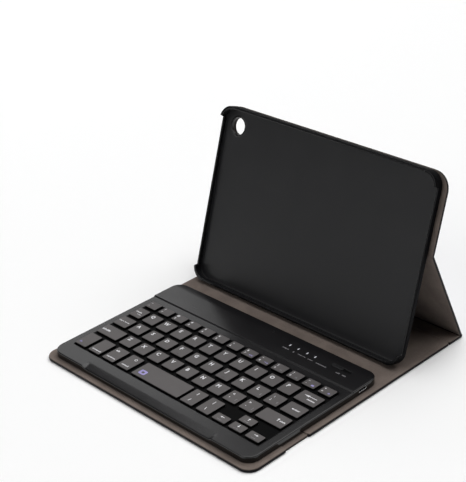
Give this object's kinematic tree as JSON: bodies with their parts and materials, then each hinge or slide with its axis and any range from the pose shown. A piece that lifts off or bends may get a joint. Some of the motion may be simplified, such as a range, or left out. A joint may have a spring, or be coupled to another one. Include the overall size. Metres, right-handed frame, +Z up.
{
  "type": "tablet keyboard case",
  "caption": "Leather folio case standing as an easel, with a snap-in tablet tray and a slim lift-off keyboard lying on its front cover.",
  "frame": {"origin": "centre of the bounding box at the table surface, under the open case", "axes": "+X to the user's right across the keyboard, +Y from the user towards the stand, +Z up"},
  "size_m": [0.2108, 0.2138, 0.1364],
  "materials": {
    "navy_leather": "fine-grained, satin",
    "taupe_lining": "brushed microfibre",
    "greyboard": "pressed millboard",
    "magnet_steel": "plated",
    "tray_plastic": "polished black",
    "case_plastic": "satin black",
    "plate_plastic": "fine matte",
    "keycap_plastic": "spark-eroded matte",
    "membrane_film": "printed film",
    "dome_rubber": "translucent silicone",
    "link_plastic": "moulded",
    "circuit_board": "solder mask",
    "battery_foil": "foil pouch",
    "socket_steel": "tin plated",
    "light_pipe": "clear frosted",
    "adhesive": "double-sided sheet",
    "foot_rubber": "matte",
    "slider_plastic": "satin"
  },
  "bodies": {
    "front_cover": {"cover_skin": "navy_leather", "cover_board": "greyboard", "cover_lining": "taupe_lining", "cover_magnets": "magnet_steel"},
    "spine": {"spine_skin": "navy_leather", "spine_board": "greyboard", "spine_lining": "taupe_lining"},
    "leg": {"leg_skin": "navy_leather", "leg_board": "greyboard", "leg_lining": "taupe_lining"},
    "back": {"back_skin": "navy_leather", "back_board": "greyboard", "back_lining": "taupe_lining", "tray_adhesive": "adhesive", "tablet_tray": "tray_plastic"},
    "strip": {"strip_skin": "navy_leather", "strip_lining": "taupe_lining"},
    "flap": {"flap_skin": "navy_leather", "flap_board": "greyboard", "flap_lining": "taupe_lining", "flap_magnets": "magnet_steel"},
    "keyboard": {"keyboard_top": "case_plastic", "keyboard_base": "plate_plastic", "key_support": "magnet_steel", "key_membrane": "membrane_film", "key_domes": "dome_rubber", "key_links": "link_plastic", "controller_board": "circuit_board", "battery_cell": "battery_foil", "usb_socket": "socket_steel", "status_lights": "light_pipe", "keyboard_magnets": "magnet_steel", "case_screws": "magnet_steel", "rubber_feet": "foot_rubber"},
    "slider": {"power_slider": "slider_plastic"},
    "keys_number_left_cap": {"keys_number_left": "keycap_plastic"},
    "keys_number_middle_cap": {"keys_number_middle": "keycap_plastic"},
    "keys_number_right_cap": {"keys_number_right": "keycap_plastic"},
    "key_tab_cap": {"key_tab": "keycap_plastic"},
    "keys_upper_left_cap": {"keys_upper_left": "keycap_plastic"},
    "keys_upper_right_cap": {"keys_upper_right": "keycap_plastic"},
    "key_backspace_cap": {"key_backspace": "keycap_plastic"},
    "key_caps_cap": {"key_caps": "keycap_plastic"},
    "keys_home_left_cap": {"keys_home_left": "keycap_plastic"},
    "keys_home_right_cap": {"keys_home_right": "keycap_plastic"},
    "key_enter_cap": {"key_enter": "keycap_plastic"},
    "key_shift_left_cap": {"key_shift_left": "keycap_plastic"},
    "keys_lower_left_cap": {"keys_lower_left": "keycap_plastic"},
    "keys_lower_right_cap": {"keys_lower_right": "keycap_plastic"},
    "key_shift_right_cap": {"key_shift_right": "keycap_plastic"},
    "key_fn_cap": {"key_fn": "keycap_plastic"},
    "key_control_cap": {"key_control": "keycap_plastic"},
    "key_option_cap": {"key_option": "keycap_plastic"},
    "key_command_cap": {"key_command": "keycap_plastic"},
    "key_space_cap": {"key_space": "keycap_plastic"},
    "keys_slash_cap": {"keys_slash": "keycap_plastic"},
    "key_left_cap": {"key_left": "keycap_plastic"},
    "key_up_cap": {"key_up": "keycap_plastic"},
    "key_down_cap": {"key_down": "keycap_plastic"},
    "key_right_cap": {"key_right": "keycap_plastic"}
  },
  "joints": [
    {"name": "rear_fold", "type": "hinge", "parent": "spine", "child": "leg", "pos_m": [0, 0.10435, 0.0026], "axis": [1, 0, 0], "range_deg": [-113, 0]},
    {"name": "crease_fold", "type": "hinge", "parent": "leg", "child": "back", "pos_m": [0, 0.0749, 0.07864], "axis": [1, 0, 0], "range_deg": [0, 42]},
    {"name": "spine_fold", "type": "hinge", "parent": "front_cover", "child": "spine", "pos_m": [0, 0.09265, 0], "axis": [1, 0, 0], "range_deg": [-90, 0]},
    {"name": "strip_fold", "type": "hinge", "parent": "front_cover", "child": "strip", "pos_m": [0, -0.05315, 0], "axis": [1, 0, 0], "range_deg": [0, 90]},
    {"name": "flap_fold", "type": "hinge", "parent": "strip", "child": "flap", "pos_m": [0, -0.07315, 0], "axis": [1, 0, 0], "range_deg": [0, 90]},
    {"name": "keyboard_lift", "type": "slide", "parent": "front_cover", "child": "keyboard", "axis": [0, 0, 1], "range_m": [0, 0.04]},
    {"name": "power_slide", "type": "slide", "parent": "keyboard", "child": "slider", "axis": [1, 0, 0], "range_m": [0, 0.004]},
    {"name": "keys_number_left_press", "type": "slide", "parent": "keyboard", "child": "keys_number_left_cap", "axis": [0, 0, -1], "range_m": [0, 0.0015], "stiffness_N_per_m": 2000, "springref_m": -0.0005},
    {"name": "keys_number_middle_press", "type": "slide", "parent": "keyboard", "child": "keys_number_middle_cap", "axis": [0, 0, -1], "range_m": [0, 0.0015], "stiffness_N_per_m": 1600, "springref_m": -0.0005},
    {"name": "keys_number_right_press", "type": "slide", "parent": "keyboard", "child": "keys_number_right_cap", "axis": [0, 0, -1], "range_m": [0, 0.0015], "stiffness_N_per_m": 1600, "springref_m": -0.0005},
    {"name": "key_tab_press", "type": "slide", "parent": "keyboard", "child": "key_tab_cap", "axis": [0, 0, -1], "range_m": [0, 0.0015], "stiffness_N_per_m": 400, "springref_m": -0.0005},
    {"name": "keys_upper_left_press", "type": "slide", "parent": "keyboard", "child": "keys_upper_left_cap", "axis": [0, 0, -1], "range_m": [0, 0.0015], "stiffness_N_per_m": 2000, "springref_m": -0.0005},
    {"name": "keys_upper_right_press", "type": "slide", "parent": "keyboard", "child": "keys_upper_right_cap", "axis": [0, 0, -1], "range_m": [0, 0.0015], "stiffness_N_per_m": 2000, "springref_m": -0.0005},
    {"name": "key_backspace_press", "type": "slide", "parent": "keyboard", "child": "key_backspace_cap", "axis": [0, 0, -1], "range_m": [0, 0.0015], "stiffness_N_per_m": 400, "springref_m": -0.0005},
    {"name": "key_caps_press", "type": "slide", "parent": "keyboard", "child": "key_caps_cap", "axis": [0, 0, -1], "range_m": [0, 0.0015], "stiffness_N_per_m": 400, "springref_m": -0.0005},
    {"name": "keys_home_left_press", "type": "slide", "parent": "keyboard", "child": "keys_home_left_cap", "axis": [0, 0, -1], "range_m": [0, 0.0015], "stiffness_N_per_m": 2000, "springref_m": -0.0005},
    {"name": "keys_home_right_press", "type": "slide", "parent": "keyboard", "child": "keys_home_right_cap", "axis": [0, 0, -1], "range_m": [0, 0.0015], "stiffness_N_per_m": 2000, "springref_m": -0.0005},
    {"name": "key_enter_press", "type": "slide", "parent": "keyboard", "child": "key_enter_cap", "axis": [0, 0, -1], "range_m": [0, 0.0015], "stiffness_N_per_m": 400, "springref_m": -0.0005},
    {"name": "key_shift_left_press", "type": "slide", "parent": "keyboard", "child": "key_shift_left_cap", "axis": [0, 0, -1], "range_m": [0, 0.0015], "stiffness_N_per_m": 400, "springref_m": -0.0005},
    {"name": "keys_lower_left_press", "type": "slide", "parent": "keyboard", "child": "keys_lower_left_cap", "axis": [0, 0, -1], "range_m": [0, 0.0015], "stiffness_N_per_m": 1600, "springref_m": -0.0005},
    {"name": "keys_lower_right_press", "type": "slide", "parent": "keyboard", "child": "keys_lower_right_cap", "axis": [0, 0, -1], "range_m": [0, 0.0015], "stiffness_N_per_m": 2000, "springref_m": -0.0005},
    {"name": "key_shift_right_press", "type": "slide", "parent": "keyboard", "child": "key_shift_right_cap", "axis": [0, 0, -1], "range_m": [0, 0.0015], "stiffness_N_per_m": 400, "springref_m": -0.0005},
    {"name": "key_fn_press", "type": "slide", "parent": "keyboard", "child": "key_fn_cap", "axis": [0, 0, -1], "range_m": [0, 0.0015], "stiffness_N_per_m": 400, "springref_m": -0.0005},
    {"name": "key_control_press", "type": "slide", "parent": "keyboard", "child": "key_control_cap", "axis": [0, 0, -1], "range_m": [0, 0.0015], "stiffness_N_per_m": 400, "springref_m": -0.0005},
    {"name": "key_option_press", "type": "slide", "parent": "keyboard", "child": "key_option_cap", "axis": [0, 0, -1], "range_m": [0, 0.0015], "stiffness_N_per_m": 400, "springref_m": -0.0005},
    {"name": "key_command_press", "type": "slide", "parent": "keyboard", "child": "key_command_cap", "axis": [0, 0, -1], "range_m": [0, 0.0015], "stiffness_N_per_m": 400, "springref_m": -0.0005},
    {"name": "key_space_press", "type": "slide", "parent": "keyboard", "child": "key_space_cap", "axis": [0, 0, -1], "range_m": [0, 0.0015], "stiffness_N_per_m": 400, "springref_m": -0.0005},
    {"name": "keys_slash_press", "type": "slide", "parent": "keyboard", "child": "keys_slash_cap", "axis": [0, 0, -1], "range_m": [0, 0.0015], "stiffness_N_per_m": 800, "springref_m": -0.0005},
    {"name": "key_left_press", "type": "slide", "parent": "keyboard", "child": "key_left_cap", "axis": [0, 0, -1], "range_m": [0, 0.0015], "stiffness_N_per_m": 400, "springref_m": -0.0005},
    {"name": "key_up_press", "type": "slide", "parent": "keyboard", "child": "key_up_cap", "axis": [0, 0, -1], "range_m": [0, 0.0015], "stiffness_N_per_m": 400, "springref_m": -0.0005},
    {"name": "key_down_press", "type": "slide", "parent": "keyboard", "child": "key_down_cap", "axis": [0, 0, -1], "range_m": [0, 0.0015], "stiffness_N_per_m": 400, "springref_m": -0.0005},
    {"name": "key_right_press", "type": "slide", "parent": "keyboard", "child": "key_right_cap", "axis": [0, 0, -1], "range_m": [0, 0.0015], "stiffness_N_per_m": 400, "springref_m": -0.0005}
  ],
  "couplings": [
    {"joint": "crease_fold", "follows": "rear_fold", "ratio": -0.3716}
  ]
}
